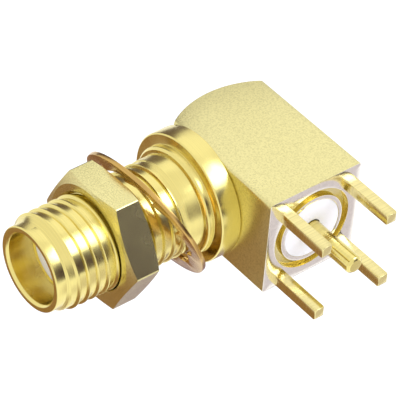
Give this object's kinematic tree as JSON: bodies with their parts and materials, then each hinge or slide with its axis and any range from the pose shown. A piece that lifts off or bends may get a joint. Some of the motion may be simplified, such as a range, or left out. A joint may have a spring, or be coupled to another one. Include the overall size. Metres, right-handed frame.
{
  "type": "coaxial jack",
  "caption": "Right-angle threaded coaxial jack for a circuit board: insulated centre socket, flanged barrel, elbow block with ground legs and centre pin, panel nut and lock washer.",
  "frame": {"origin": "on the barrel axis at the flange's front face, the face that seats on the panel", "axes": "-Y along the barrel out of its mouth, +X along the legs and the centre pin, away from the board face, +Z across the block (the part is the same above and below)"},
  "size_m": [0.0157, 0.0198, 0.0092],
  "materials": {
    "gold_body": "satin gold plate on turned brass",
    "gold_block": "satin gold plate on milled brass",
    "gold_nut": "satin gold plate",
    "gold_washer": "gold plate on stamped bronze",
    "gold_contact": "polished gold plate",
    "insulator": "waxy white fluoropolymer"
  },
  "bodies": {
    "jack": {"threaded_barrel": "gold_body", "elbow_block": "gold_block", "front_insulator": "insulator", "rear_insulator": "insulator", "socket_contact": "gold_contact", "tail_pin": "gold_contact"},
    "washer": {"lock_washer": "gold_washer"},
    "nut": {"hex_nut": "gold_nut"}
  },
  "joints": [
    {"name": "nut_turn", "type": "hinge", "parent": "jack", "child": "washer", "pos_m": [0, 0, 0], "axis": [0, -1, 0], "range_deg": [0, 1531]},
    {"name": "nut_travel", "type": "slide", "parent": "washer", "child": "nut", "axis": [0, -1, 0], "range_m": [0, 0.003]}
  ],
  "couplings": [
    {"joint": "nut_turn", "follows": "nut_travel", "rad_per_m": 8904.7}
  ]
}
